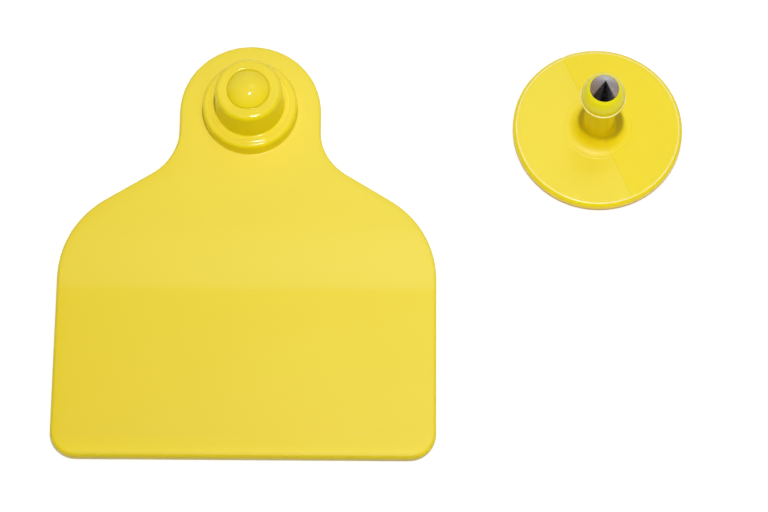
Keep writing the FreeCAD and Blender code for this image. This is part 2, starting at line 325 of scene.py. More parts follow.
def well_inside(spot, border, margin):
    """True where a spot lies inside a closed border, at least margin from it."""
    inside = False
    for one, other in zip(border, border[1:] + border[:1]):
        run = Vector(other) - Vector(one)
        share = min(max((spot - Vector(one)).dot(run) / run.length_squared, 0.0), 1.0)
        if (spot - Vector(one) - run * share).length < margin:
            return False
        if (one[1] > spot.y) != (other[1] > spot.y):
            if spot.x < one[0] + (spot.y - one[1]) * run.x / run.y:
                inside = not inside
    return inside


def add_sheet(mesh, border, hole, height_of, spacing, facing_up):
    """Fill the area between a border and a round hole with an even net of triangles."""
    coords = [Vector(point) for point in border + hole]
    count = len(border)
    edges = [(step, (step + 1) % count) for step in range(count)]
    edges += [(count + step, count + (step + 1) % len(hole)) for step in range(len(hole))]
    hole_radius = Vector(hole[0]).length
    margin = NET_MARGIN * spacing
    low_x, high_x = min(p[0] for p in border), max(p[0] for p in border)
    low_y, high_y = min(p[1] for p in border), max(p[1] for p in border)
    rows = int((high_y - low_y) / spacing)
    columns = int((high_x - low_x) / spacing)
    for row in range(rows + 1):
        for column in range(columns + 1):
            shift = 0.5 if row % 2 else 0.0
            spot = Vector((low_x + (column + shift) * spacing, low_y + row * spacing))
            if spot.length > hole_radius + margin and well_inside(spot, border, margin):
                coords.append(spot)
    points, _, faces, _, _, _ = delaunay_2d_cdt(coords, edges, [], 1, 1e-5)
    made = [mesh.verts.new((p.x, p.y, height_of(p.x, p.y))) for p in points]
    for face in faces:
        middle = sum((points[i] for i in face), Vector((0, 0))) / len(face)
        if middle.length < hole_radius:
            continue
        order = face if facing_up else list(reversed(face))
        mesh.faces.new([made[i] for i in order])


def new_object(name, data):
    """An object that holds the data, linked to the scene."""
    item = bpy.data.objects.new(name, data)
    bpy.context.scene.collection.objects.link(item)
    return item


def put_in_scene(mesh, name):
    """Weld the mesh, turn it outwards, and make it a smooth object in metres."""
    bmesh.ops.remove_doubles(mesh, verts=mesh.verts, dist=WELD)
    loose = [vert for vert in mesh.verts if not vert.link_faces]
    bmesh.ops.delete(mesh, geom=loose, context="VERTS")
    bmesh.ops.recalc_face_normals(mesh, faces=mesh.faces)
    bmesh.ops.scale(mesh, vec=(MM, MM, MM), verts=mesh.verts)
    data = bpy.data.meshes.new(name)
    mesh.to_mesh(data)
    mesh.free()
    data.polygons.foreach_set("use_smooth", [True] * len(data.polygons))
    data.set_sharp_from_angle(angle=SHARP_ANGLE)
    piece = new_object(name, data)
    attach(piece, "root")
    return piece


# --------------------------------------------------------------------- ear flag

def shoulder_line():
    """The shoulder's outward normal, and the centres of the two fillets at its ends."""
    run = Vector((HALF_WIDTH - HEAD_RADIUS, NECK_DROP - SHOULDER_DROP)).normalized()
    normal = Vector((-run.y, run.x))
    neck_x = HEAD_RADIUS + NECK_FILLET
    neck_y = -NECK_DROP + NECK_FILLET * (1 - normal.x) / normal.y
    side_x = HALF_WIDTH - SHOULDER_FILLET
    side_y = -NECK_DROP - (SHOULDER_FILLET + (side_x - HEAD_RADIUS) * normal.x) / normal.y
    return normal, (neck_x, neck_y), (side_x, side_y)


def flag_outline(inset):
    """The flag's outline, drawn in by inset: right side from the top, then the left."""
    normal, neck, side = shoulder_line()
    slope = math.degrees(math.atan2(normal.y, normal.x))
    corner = (HALF_WIDTH - CORNER_FILLET, -FLAG_DROP + CORNER_FILLET)
    right = arc((0, 0), HEAD_RADIUS - inset, 90, 0, STEPS["head"])
    right += arc(neck, NECK_FILLET + inset, 180, 180 + slope, STEPS["neck"])
    right += arc(side, SHOULDER_FILLET - inset, slope, 0, STEPS["shoulder"])
    low = arc(corner, CORNER_FILLET - inset, 0, -90, STEPS["corner"])
    right += between(right[-1], low[0], STEPS["side"])
    right += low
    right += between(low[-1], (0, low[-1][1]), STEPS["bottom"])
    right.append((0, low[-1][1]))
    left = [(-x, y) for x, y in reversed(right[1:-1])]
    return right + left


def front_height(x, y):
    """Height of the flag's front face: thick head, shallow taper, thinner panel."""
    run = TAPER_END - TAPER_START
    share = (-y - TAPER_START) / run
    soft = TAPER_SOFTNESS / run
    share = soft_ramp(share, soft) - soft_ramp(share - 1.0, soft)
    wave = sum(math.sin(pace_x * x + pace_y * y + start) for pace_x, pace_y, start in FACE_WAVES)
    away = smoothstep(WAVES_START, WAVES_FULL, math.hypot(x, y))
    sink = away * FACE_WAVE * (wave / len(FACE_WAVES) - 1)
    return HEAD_THICKNESS + (PANEL_THICKNESS - HEAD_THICKNESS) * share + sink


def flat_back(x, y):
    """Height of the flag's back face, which lies on the floor."""
    return 0.0


def boss_profile():
    """The boss from its foot on the flag up to the top of the dome."""
    rise = DOME_TOP - CUP_TOP
    sphere = (DOME_RADIUS ** 2 + rise ** 2) / (2 * rise)
    middle = DOME_TOP - sphere
    # the valley's arc is centred DOME_VALLEY above the groove's floor, and outside the
    # dome's sphere by as much, so that it runs smoothly into the dome
    valley_height = CUP_TOP + DOME_VALLEY - DOME_GROOVE
    valley_radius = math.sqrt((sphere + DOME_VALLEY) ** 2 - (valley_height - middle) ** 2)
    meet = math.degrees(math.atan2(valley_height - middle, valley_radius))
    cup_foot = CUP_BASE_RADIUS + FOOT_RADIUS
    ring_land = RING_RADIUS - RING_EDGE
    cup_land = CUP_TOP_RADIUS - CUP_EDGE
    ring_foot = RING_RADIUS + FOOT_RADIUS
    profile = arc((ring_foot, HEAD_THICKNESS + FOOT_RADIUS), FOOT_RADIUS, 270, 180, STEPS["foot"])
    profile += arc((ring_land, RING_TOP - RING_EDGE), RING_EDGE, 0, 90, STEPS["ring_edge"])
    profile += turned_land(ring_land - BOSS_GAP, cup_foot + BOSS_GAP, RING_TOP, RING_MARKS, BOSS_PITCH)
    profile += arc((cup_foot, RING_TOP + FOOT_RADIUS), FOOT_RADIUS, 270, 180, STEPS["foot"])
    profile += arc((cup_land, CUP_TOP - CUP_EDGE), CUP_EDGE, 0, 90, STEPS["cup_edge"])
    brink = valley_radius + GROOVE_REACH
    profile += turned_land(cup_land - BOSS_GAP, brink, CUP_TOP, CUP_MARKS, BOSS_PITCH)
    profile += [(valley_radius + out, CUP_TOP - down) for out, down in GROOVE_WALL]
    profile += arc((valley_radius, valley_height), DOME_VALLEY, 270, 180 + meet, STEPS["valley"])
    profile += arc((0, middle), sphere, meet, 90, STEPS["dome"])[1:-1]
    profile.append((0, DOME_TOP))
    return profile


def flag_sides():
    """Closed loops down the flag's sides: rounded front edge, seam ridge, back edge."""
    loops = []
    for step in range(STEPS["face_edge"] + 1):
        angle = math.radians(90 - 90 * step / STEPS["face_edge"])
        inset = SEAM_RIDGE + FACE_EDGE * (1 - math.cos(angle))
        drop = FACE_EDGE * (1 - math.sin(angle))
        loops.append([(x, y, front_height(x, y) - drop) for x, y in flag_outline(inset)])
    for rise, inset in ((SEAM_FOOT, SEAM_RIDGE), (SEAM_CREST, 0), (-SEAM_CREST, 0), (-SEAM_FOOT, SEAM_RIDGE)):
        loops.append([(x, y, SEAM_HEIGHT + rise) for x, y in flag_outline(inset)])
    for step in range(STEPS["back_edge"] + 1):
        angle = math.radians(90 * step / STEPS["back_edge"])
        inset = SEAM_RIDGE + BACK_EDGE * (1 - math.cos(angle))
        loops.append([(x, y, BACK_EDGE * (1 - math.sin(angle))) for x, y in flag_outline(inset)])
    return loops


def ear_flag():
    """The flag and its boss as one surface, hollow where the button's head goes in."""
    mesh = bmesh.new()
    add_loops(mesh, flag_sides())
    foot = circle(RING_RADIUS + FOOT_RADIUS)
    add_sheet(mesh, flag_outline(SEAM_RIDGE + FACE_EDGE), foot, front_height, FACE_NET, True)
    add_lathe(mesh, boss_profile())
    hollow = [(MOUTH_RADIUS + MOUTH_EDGE, 0), (MOUTH_RADIUS, MOUTH_EDGE), (MOUTH_RADIUS, LIP_HEIGHT),
              (SEAT_RADIUS, LIP_HEIGHT), (SEAT_RADIUS, SEAT_TOP), (CHAMBER_RADIUS, SEAT_TOP),
              (CHAMBER_RADIUS, CHAMBER_TOP), (CHAMBER_END_RADIUS, CHAMBER_END), (0, CHAMBER_END)]
    add_lathe(mesh, hollow)
    mouth = circle(MOUTH_RADIUS + MOUTH_EDGE)
    add_sheet(mesh, flag_outline(SEAM_RIDGE + BACK_EDGE), mouth, flat_back, BACK_NET, False)
    piece = put_in_scene(mesh, "flag_moulding")
    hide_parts("ear_flag")
    return piece


# ------------------------------------------------------------------ male button

def keyed_shank():
    """The tip's shank from its low end up to its seat, with the groove that keys it."""
    floor = SHANK_RADIUS - SHANK_GROOVE
    return [(SHANK_RADIUS, SHANK_LOW), (SHANK_RADIUS, GROOVE_LOW), (floor, GROOVE_LOW),
            (floor, GROOVE_HIGH), (SHANK_RADIUS, GROOVE_HIGH), (SHANK_RADIUS, TIP_SEAT)]


def disc_and_stem():
    """The button from its pin bore, over the disc's rim and up the stem to the head."""
    profile = [(PIN_BORE, SHANK_LOW), (PIN_BORE, PIN_LEAD), (PIN_BORE + PIN_LEAD, 0)]
    profile += [(radius, 0) for radius in DISC_RINGS]
    back = DISC_RADIUS - DISC_BACK_EDGE
    land = DISC_RADIUS - DISC_EDGE
    root = STEM_RADIUS + STEM_FOOT
    crest = root + ROOT_GAP
    profile += arc((back, DISC_BACK_EDGE), DISC_BACK_EDGE, 270, 360, STEPS["disc_back"])
    profile += arc((land, DISC_TOP - DISC_EDGE), DISC_EDGE, 0, 90, STEPS["disc_edge"])
    profile += turned_land(land - DISC_GAP, crest + ROOT_GAP, DISC_TOP, DISC_MARKS, DISC_PITCH)
    profile += [(crest + out, DISC_TOP + height) for out, height in ROOT_RIDGE]
    profile += arc((root, DISC_TOP + STEM_FOOT), STEM_FOOT, 270, 180, STEPS["root"])
    profile += [(STEM_RADIUS, height) for height in (*STEM_RINGS, RIM_BOTTOM)]
    return profile


def head_of_button():
    """The head from under its rim to its top, and down the socket of the tip's shank."""
    profile = [(RIM_RADIUS - RIM_UNDERCUT, RIM_BOTTOM), (RIM_RADIUS, RIM_BOTTOM + RIM_UNDERCUT)]
    profile += [(RIM_RADIUS - inward, RIM_TOP - down) for inward, down in RIM_CREST]
    collar = (RIM_TOP, RIM_TOP + COLLAR_RING, COLLAR_TOP - COLLAR_RING)
    profile += [(COLLAR_RADIUS, height) for height in collar]
    for step in range(STEPS["nose"] + 1):
        share = step / STEPS["nose"]
        swell = 4 * NOSE_BULGE * share * (1 - share)
        radius = COLLAR_RADIUS + (NOSE_RADIUS - COLLAR_RADIUS) * share + swell
        profile.append((radius, COLLAR_TOP + (NOSE_TOP - NOSE_LIP - COLLAR_TOP) * share))
    for share in LIP_SHARES:
        profile.append((NOSE_RADIUS + (TIP_RADIUS - NOSE_RADIUS) * share, NOSE_TOP - NOSE_LIP * (1 - share)))
    profile += [(TIP_RADIUS, NOSE_TOP), (TIP_RADIUS, TIP_SEAT)]
    profile += reversed(keyed_shank())
    profile.append((PIN_BORE, SHANK_LOW))
    return profile


def seam_angle(radius, step):
    """Angles round the button, close together where it crosses the mould's parting plane."""
    half = SEGMENTS // 2
    side, place = divmod(step, half)
    count = len(SEAM_OFFSETS)
    if place < count:
        across = math.asin(max(-SEAM_SINE, min(SEAM_SINE, SEAM_OFFSETS[place] / radius)))
    else:
        edge = math.asin(min(SEAM_SINE, SEAM_OFFSETS[-1] / radius))
        across = edge + (math.pi - 2 * edge) * (place - count + 1) / (half - count + 1)
    return across + math.pi * side


def part_halves(spot):
    """Set one half of the disc's face over the other with a fine groove between them,
    run a flash down the stem, sink the rim a little and nick it at the line."""
    radius = math.hypot(spot.x, spot.y)
    flash = math.exp(-(spot.y / FLASH_WIDTH) ** 2)
    above_disc = DISC_TOP - FACE_MARGIN < spot.z < RIM_BOTTOM - HEAD_MARGIN
    if above_disc and radius > STEM_RADIUS + SIDE_MARGIN:
        lift = HALF_STEP * (1 - 2 * smoothstep(-STEP_WIDTH, STEP_WIDTH, spot.y))
        return spot + Vector((0, 0, lift - FACE_GROOVE * flash))
    if spot.z > RIM_BOTTOM - SIDE_MARGIN or spot.z < FOOT_MARGIN or radius < STEM_RADIUS - SIDE_MARGIN:
        return spot
    outward = FLASH * flash
    if radius > DISC_RADIUS - DISC_EDGE:
        nick = math.exp(-((spot.y - NICK_PLACE) / NICK_WIDTH) ** 2)
        outward = -RIM_SINK - NICK_DEPTH * nick * smoothstep(*NICK_RISE, spot.z)
    stretch = 1 + outward / radius
    return Vector((spot.x * stretch, spot.y * stretch, spot.z))


def male_button():
    """Disc, stem and head in one turn, from the pin bore round to the pin bore."""
    mesh = bmesh.new()
    add_lathe(mesh, disc_and_stem() + head_of_button(), angle_of=seam_angle, shape=part_halves)
    bmesh.ops.rotate(mesh, verts=mesh.verts, cent=(0, 0, 0), matrix=Matrix.Rotation(PARTING_TURN, 3, "Z"))
    bmesh.ops.translate(mesh, verts=mesh.verts, vec=(BUTTON_X, BUTTON_Y, 0))
    piece = put_in_scene(mesh, "button_moulding")
    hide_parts("male_button")
    return piece


def piercing_tip():
    """The turned metal tip: grooved shank, sunk base and a cone with lathe rings."""
    profile = [(0, SHANK_LOW), *keyed_shank()]
    base = TIP_RADIUS - TIP_EDGE_IN
    low = NOSE_TOP + TIP_EDGE_UP
    profile += [(TIP_RADIUS - TIP_GAP, TIP_SEAT), (TIP_RADIUS - TIP_GAP, NOSE_TOP), (base, low)]
    for step in range(1, STEPS["cone"]):
        share = step / STEPS["cone"]
        radius = base + (TIP_POINT - base) * share
        height = low + (TIP_TOP - TIP_POINT - low) * share
        profile.append((radius + tool_marks(TIP_PACE * radius, TIP_MARKS), height))
    profile.append((TIP_POINT, TIP_TOP - TIP_POINT))
    profile.append((TIP_POINT * POINT_SHARE, TIP_TOP - TIP_POINT * (1 - POINT_SHARE)))
    profile.append((0, TIP_TOP))
    mesh = bmesh.new()
    add_lathe(mesh, profile, TIP_SEGMENTS, (BUTTON_X, BUTTON_Y))
    piece = put_in_scene(mesh, "tip_turning")
    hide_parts("piercing_tip")
    return piece


# ------------------------------------------------------------------- node trees

def rgba(tone):
    """A tone with full opacity, as a colour socket takes it."""
    return (*tone, 1.0)


class Nodes:
    """Short calls for building a node tree.  Values are constants or nodes' outputs."""

    def __init__(self, tree):
        self.tree = tree

    def add(self, kind, **settings):
        """A new node with these properties."""
        node = self.tree.nodes.new(kind)
        for key, value in settings.items():
            setattr(node, key, value)
        return node

    def feed(self, socket, value):
        """Link another node's output to a socket, or set the socket to a constant."""
        if isinstance(value, bpy.types.NodeSocket):
            self.tree.links.new(value, socket)
        else:
            socket.default_value = value

    def math(self, operation, *values):
        """The result of a sum on numbers."""
        node = self.add("ShaderNodeMath", operation=operation)
        for socket, value in zip(node.inputs, values):
            self.feed(socket, value)
        return node.outputs[0]

    def product(self, first, *others):
        """All the numbers multiplied."""
        for other in others:
            first = self.math("MULTIPLY", first, other)
        return first

    def vector(self, operation, *values):
        """The result of a sum on vectors."""
        node = self.add("ShaderNodeVectorMath", operation=operation)
        for socket, value in zip(node.inputs, values):
            self.feed(socket, value)
        return node.outputs["Value" if operation == "LENGTH" else "Vector"]

    def split(self, vector):
        """A vector's outputs, by the names X, Y and Z."""
        node = self.add("ShaderNodeSeparateXYZ")
        self.feed(node.inputs[0], vector)
        return node.outputs

    def spread(self, value, low, high, to_low=0.0, to_high=1.0, curve="LINEAR"):
        """Carry the range from low to high over to another one, and clamp it there."""
        node = self.add("ShaderNodeMapRange", clamp=True, interpolation_type=curve)
        self.feed(node.inputs["Value"], value)
        for key, number in (("From Min", low), ("From Max", high), ("To Min", to_low), ("To Max", to_high)):
            node.inputs[key].default_value = number
        return node.outputs["Result"]

    def rising(self, value, low, high, most=1.0):
        """0 below low and most above high."""
        return self.spread(value, low, high, 0.0, most)

    def falling(self, value, low, high, most=1.0):
        """most below low and 0 above high."""
        return self.spread(value, low, high, most, 0.0)

    def band(self, value, low, high, soft):
        """1 from low to high, and falling to 0 over soft on both sides."""
        return self.product(self.rising(value, low - soft, low), self.falling(value, high, high + soft))

    def ray_kinds(self):
        """1 for what the camera sees, and 1 for what metal and glass show."""
        path = self.add("ShaderNodeLightPath").outputs
        return path["Is Camera Ray"], self.math("MAXIMUM", path["Is Glossy Ray"], path["Is Transmission Ray"])


class Look(Nodes):
    """A material under construction.  place is in metres, and spot, x, y and z are in
    millimetres; colour is the base colour so far, which tint() changes."""

    def __init__(self, name):
        self.material = bpy.data.materials.new(name)
        self.material.use_nodes = True
        super().__init__(self.material.node_tree)
        self.shader = self.tree.nodes["Principled BSDF"]
        self.place = self.add("ShaderNodeTexCoord").outputs["Object"]
        self.spot = self.vector("MULTIPLY", self.place, (1 / MM, 1 / MM, 1 / MM))
        parts = self.split(self.spot)
        self.x, self.y, self.z = parts["X"], parts["Y"], parts["Z"]
        self.colour = None

    def tilt(self):
        """How far the surface faces up, from -1 to 1."""
        return self.split(self.add("ShaderNodeTexCoord").outputs["Normal"])["Z"]

    def radius_from(self, centre):
        """Distance from the upright axis through centre."""
        flat = self.vector("MULTIPLY_ADD", self.spot, (1, 1, 0), (-centre[0], -centre[1], 0))
        return self.vector("LENGTH", flat)

    def noise(self, scale, detail=2.0, roughness=0.5):
        """Noise from 0 to 1; scale counts its grains in a metre."""
        node = self.add("ShaderNodeTexNoise")
        self.feed(node.inputs["Vector"], self.place)
        node.inputs["Scale"].default_value = scale
        node.inputs["Detail"].default_value = detail
        node.inputs["Roughness"].default_value = roughness
        return node.outputs["Fac"]

    def mix(self, share, one, other):
        """From one colour to another, by a share from 0 to 1."""
        node = self.add("ShaderNodeMix", data_type="RGBA")
        self.feed(node.inputs["Factor"], share)
        self.feed(node.inputs["A"], one)
        self.feed(node.inputs["B"], other)
        return next(o for o in node.outputs if o.type == "RGBA")

    def tint(self, share, tone):
        """Lay a tone over the base colour."""
        self.colour = self.mix(share, self.colour, rgba(tone))

    def blend(self, share, one, other):
        """From one number to another, by a share from 0 to 1."""
        node = self.add("ShaderNodeMix", data_type="FLOAT")
        self.feed(node.inputs["Factor"], share)
        self.feed(node.inputs["A"], one)
        self.feed(node.inputs["B"], other)
        return next(o for o in node.outputs if o.type == "VALUE")

    def bump(self, height, depth, normal=None):
        """The normal over a relief that is depth millimetres deep."""
        node = self.add("ShaderNodeBump")
        self.feed(node.inputs["Height"], height)
        node.inputs["Distance"].default_value = depth * MM
        if normal:
            self.feed(node.inputs["Normal"], normal)
        return node.outputs["Normal"]

    def finish(self, roughness):
        """Give the shader its colour and roughness, and hand the material over."""
        self.feed(self.shader.inputs["Base Color"], self.colour)
        self.feed(self.shader.inputs["Roughness"], roughness)
        return self.material


# -------------------------------------------------------------------- materials

# Tones, as linear red, green and blue
YELLOW = (0.895, 0.722, 0.002)
YELLOW_CLOUDS = (0.88, 0.70, 0.001)
# painted sheen: upward faces paler, standing in for the overhead light they mirror
UPWARD_SHEEN = (0.91, 0.74, 0.09)
# painted sheen on the flag's face, paler over the thick head and towards the right
FACE_SHEEN = (0.93, 0.80, 0.22)
# painted shade, deepening the tone towards the flag's low left corner
SHADED_CORNER = (0.775, 0.585, 0.004)
# painted shade along the flag's lower border and its rounded edge
LOW_BORDER_SHADE = (0.84, 0.66, 0.001)
LOW_EDGE_SHADE = (0.48, 0.37, 0.02)
# painted contact shadow, a brown line where the flag's sides meet the table
FLAG_CONTACT_SHADOW = (0.30, 0.17, 0.02)
GROOVE_SHADE = (0.55, 0.38, 0.001)
HEAD_GREEN = (0.87, 0.76, 0.008)
# painted sheen on one half of the disc's face
HALF_SHEEN = (0.93, 0.84, 0.45)
# scuffs and a painted highlight along the disc's rim
SCUFFS_AND_HIGHLIGHT = (0.96, 0.90, 0.50)
# scuffs and a painted highlight on the crest of the head's rim
CREST_SCUFFS_AND_HIGHLIGHT = (0.97, 0.94, 0.66)
# the stem's deeper orange: partly its own colour, partly painted shade under the head
STEM_ORANGE_AND_SHADE = (0.87, 0.635, 0.0005)
# painted shade: the disc's upright wall deeper orange
WALL_SHADE_ORANGE = (0.93, 0.65, 0.003)
# painted contact shadow, a brown line round the button's foot
DISC_CONTACT_SHADOW = (0.34, 0.16, 0.015)
ACETAL = (0.78, 0.77, 0.72)
ACETAL_CLOUDS = (0.74, 0.73, 0.67)
METAL = (0.27, 0.255, 0.28)
METAL_CLOUDS = (0.22, 0.205, 0.215)
# painted reflection of the yellow plastic, brown on the tip's sides
SIDE_REFLECTION = (0.22, 0.15, 0.085)

# Scales of the noises, in grains a metre, and of the lathe rings, in rings a millimetre
CLOUD_SCALE = 45
DRIFT_SCALE = 22
CONTACT_SHADOW_SCALE = 45
SCUFF_AND_HIGHLIGHT_SCALE = 700
GLOSS_SCALE = 260
SKIN_SCALE = 2600
SWELL_SCALE = 300
RING_SCALE = 9

# Depths of the moulded skin's relief, in millimetres
SKIN_DEPTH = 0.006
SWELL_DEPTH = 0.01
FLAG_RING_DEPTH = 0.006
BUTTON_RING_DEPTH = 0.004

# Lowest and highest roughness of each surface
FACE_GLOSS = (0.38, 0.46)
BOSS_GLOSS = (0.08, 0.12)
DISC_GLOSS = (0.2, 0.28)
ROOT_GLOSS = 0.39
ACETAL_GLOSS = (0.36, 0.5)
METAL_GLOSS = (0.10, 0.26)
TPU_IOR = 1.5
TPU_SPECULAR = 0.25

# Where the finishes and the tints begin and end, in millimetres: a pair spans the fade,
# and a band has the softness of its sides third.  A turned face's finish fades out over
# the share FADE of its reach, on both sides of it.
FLAG_REACH = 8.6
BUTTON_REACH = 15
FADE = 0.03
POLISH = (8.4, 8.7)
RINGS_START = (3.6, 4.0)
FACE_SHEEN_BORDER = (-TAPER_END - 1.3, -TAPER_END - 0.5)
FACE_SHEEN_TOP = (HEAD_THICKNESS + 0.05, HEAD_THICKNESS + 0.4)
LOW_BORDER_SHADE_TOP = (0.6 - FLAG_DROP, 4.0 - FLAG_DROP)
LOW_EDGE_SHADE_TOP = (0.1 - FLAG_DROP, 1.1 - FLAG_DROP)
OUTSIDE_BOSS = (8, 9)
FLAG_CONTACT_SHADOW_TOP = (0.3, 0.6)
GROOVE_BAND = (DOME_RADIUS + 0.02, DOME_RADIUS + 0.12, 0.12)
GROOVE_LOW_END = (11, 11.5)
HEAD_LOW_END = (COLLAR_TOP - 0.5, COLLAR_TOP)
HALF_BORDER = (BUTTON_Y - 0.06, BUTTON_Y + 0.06)
FACE_LOW_END = (DISC_TOP - 0.1, DISC_TOP)
FACE_TOP = (DISC_TOP + 0.1, DISC_TOP + 1)
SCUFF_AND_HIGHLIGHT_BAND = (DISC_RADIUS - 0.68, DISC_RADIUS - 0.58, 0.1)
SCUFF_AND_HIGHLIGHT_LOW_END = (DISC_TOP - 0.22, DISC_TOP - 0.1)
LEDGE_START = (COLLAR_RADIUS + 0.02, COLLAR_RADIUS + 0.06)
CREST_LOW_END = (RIM_TOP - 0.16, RIM_TOP - 0.06)
STEM_REACH = (3.6, 5.4)
STEM_TOP = (RIM_BOTTOM - 0.3, RIM_BOTTOM)
WALL_START = (DISC_RADIUS - 0.5, DISC_RADIUS - 0.3)
WALL_TOP = (1.2, 1.7)
DISC_CONTACT_SHADOW_TOP = (0.35, 0.75)
DISC_CONTACT_SHADOW_START = (DISC_RADIUS - 1, DISC_RADIUS - 0.6)
ROOT_REACH = (5.8, 6.4)
ROOT_TOP = (3, 5)
SIDE_REFLECTION_LEFT = (BUTTON_X - 1.9, BUTTON_X - 0.4)
SIDE_REFLECTION_RIGHT = (BUTTON_X + 0.5, BUTTON_X + 1.6)


def moulded_tpu(name, centre, reach, ring_depth, sheen_in, sheen_out):
    """Yellow polyurethane: deep, slightly cloudy colour under a soft gloss.  The
    mould was turned within reach of centre, and that leaves its fine rings, but none
    in the very middle.  A painted sheen makes its upward faces paler, by the first of
    its two shares within reach of centre and by the second beyond."""
    look = Look(name)
    clouds = look.spread(look.noise(CLOUD_SCALE, 3, 0.55), 0.3, 0.7)
    look.colour = look.mix(clouds, rgba(YELLOW), rgba(YELLOW_CLOUDS))
    radius = look.radius_from(centre)
    border = (reach * (1 - FADE), reach * (1 + FADE))
    # painted sheen on the upward faces, by one share within reach of centre and another beyond
    painted_sheen = look.spread(radius, *border, sheen_in, sheen_out)
    look.tint(look.product(painted_sheen, look.rising(look.tilt(), 0.75, 0.98)), UPWARD_SHEEN)
    rings = look.add("ShaderNodeTexNoise", noise_dimensions="1D")
    look.feed(rings.inputs["W"], radius)
    rings.inputs["Scale"].default_value = RING_SCALE
    rings.inputs["Detail"].default_value = 2
    turned = look.product(rings.outputs["Fac"], look.falling(radius, *border),
                          look.rising(radius, *RINGS_START))
    rough = look.spread(radius, *POLISH, 0.25, 1.0)
    grain = look.bump(look.product(look.noise(SKIN_SCALE, 3, 0.6), rough), SKIN_DEPTH)
    broad = look.bump(look.product(look.noise(SWELL_SCALE, 2), rough), SWELL_DEPTH, grain)
    look.feed(look.shader.inputs["Normal"], look.bump(turned, ring_depth, broad))
    look.shader.inputs["IOR"].default_value = TPU_IOR
    look.shader.inputs["Specular IOR Level"].default_value = TPU_SPECULAR
    return look, radius


def uneven_gloss(look, low, high):
    """Roughness of moulded plastic, which varies a little over its face."""
    return look.spread(look.noise(GLOSS_SCALE, 4, 0.6), 0.25, 0.75, low, high)


def flag_tpu():
    """The flag's plastic: a polished boss on a dull face, a painted sheen that is most
    over the thick head, painted shade that deepens its tone towards one low corner and
    along its lower border, and a painted contact shadow, a brown line where its sides meet the table."""
    look, radius = moulded_tpu("flag_tpu", (0, 0), FLAG_REACH, FLAG_RING_DEPTH, 0.6, 0.3)
    tilt = look.tilt()
    # painted shade: a deeper tone, which grows from the head's right side down to the low left corner
    along = look.rising(look.y, -FLAG_DROP, HEAD_RADIUS, 0.6)
    across = look.rising(look.x, -HALF_WIDTH, HALF_WIDTH, 0.4)
    drift = look.product(look.noise(DRIFT_SCALE, 2), 0.16)
    slant = look.math("ADD", look.math("ADD", along, across), drift)
    look.tint(look.falling(slant, 0.08, 0.92), SHADED_CORNER)
    # a painted sheen, stronger towards the right, which ends in a straight line across the flag just past its
    # taper
    thick = look.spread(look.y, *FACE_SHEEN_BORDER, 0.07, 0.17)
    slope = look.spread(look.x, -HALF_WIDTH, HALF_WIDTH, 0.75, 1.25)
    face = look.product(look.falling(look.z, *FACE_SHEEN_TOP), look.rising(tilt, 0.3, 0.7))
    look.tint(look.product(thick, slope, face), FACE_SHEEN)
    # painted shade along the lower border and on its rounded edge
    look.tint(look.falling(look.y, *LOW_BORDER_SHADE_TOP, 0.75), LOW_BORDER_SHADE)
    look.tint(look.falling(look.y, *LOW_EDGE_SHADE_TOP, 0.45), LOW_EDGE_SHADE)
    # the painted contact shadow, a brown line, on upright faces only, and outside the boss's hollow
    upright = look.falling(look.math("ABSOLUTE", tilt), 0.3, 0.7)
    walls = look.product(upright, look.rising(radius, *OUTSIDE_BOSS))
    patchy = look.spread(look.noise(CONTACT_SHADOW_SCALE, 3), 0.42, 0.6, 0.15, 0.7)
    look.tint(look.product(look.falling(look.z, *FLAG_CONTACT_SHADOW_TOP), patchy, walls), FLAG_CONTACT_SHADOW)
    # the groove round the dome
    groove = look.band(radius, *GROOVE_BAND)
    look.tint(look.product(groove, look.rising(look.z, *GROOVE_LOW_END, 0.6)), GROOVE_SHADE)
    boss = look.falling(radius, *POLISH)
    return look.finish(look.blend(boss, uneven_gloss(look, *FACE_GLOSS), uneven_gloss(look, *BOSS_GLOSS)))


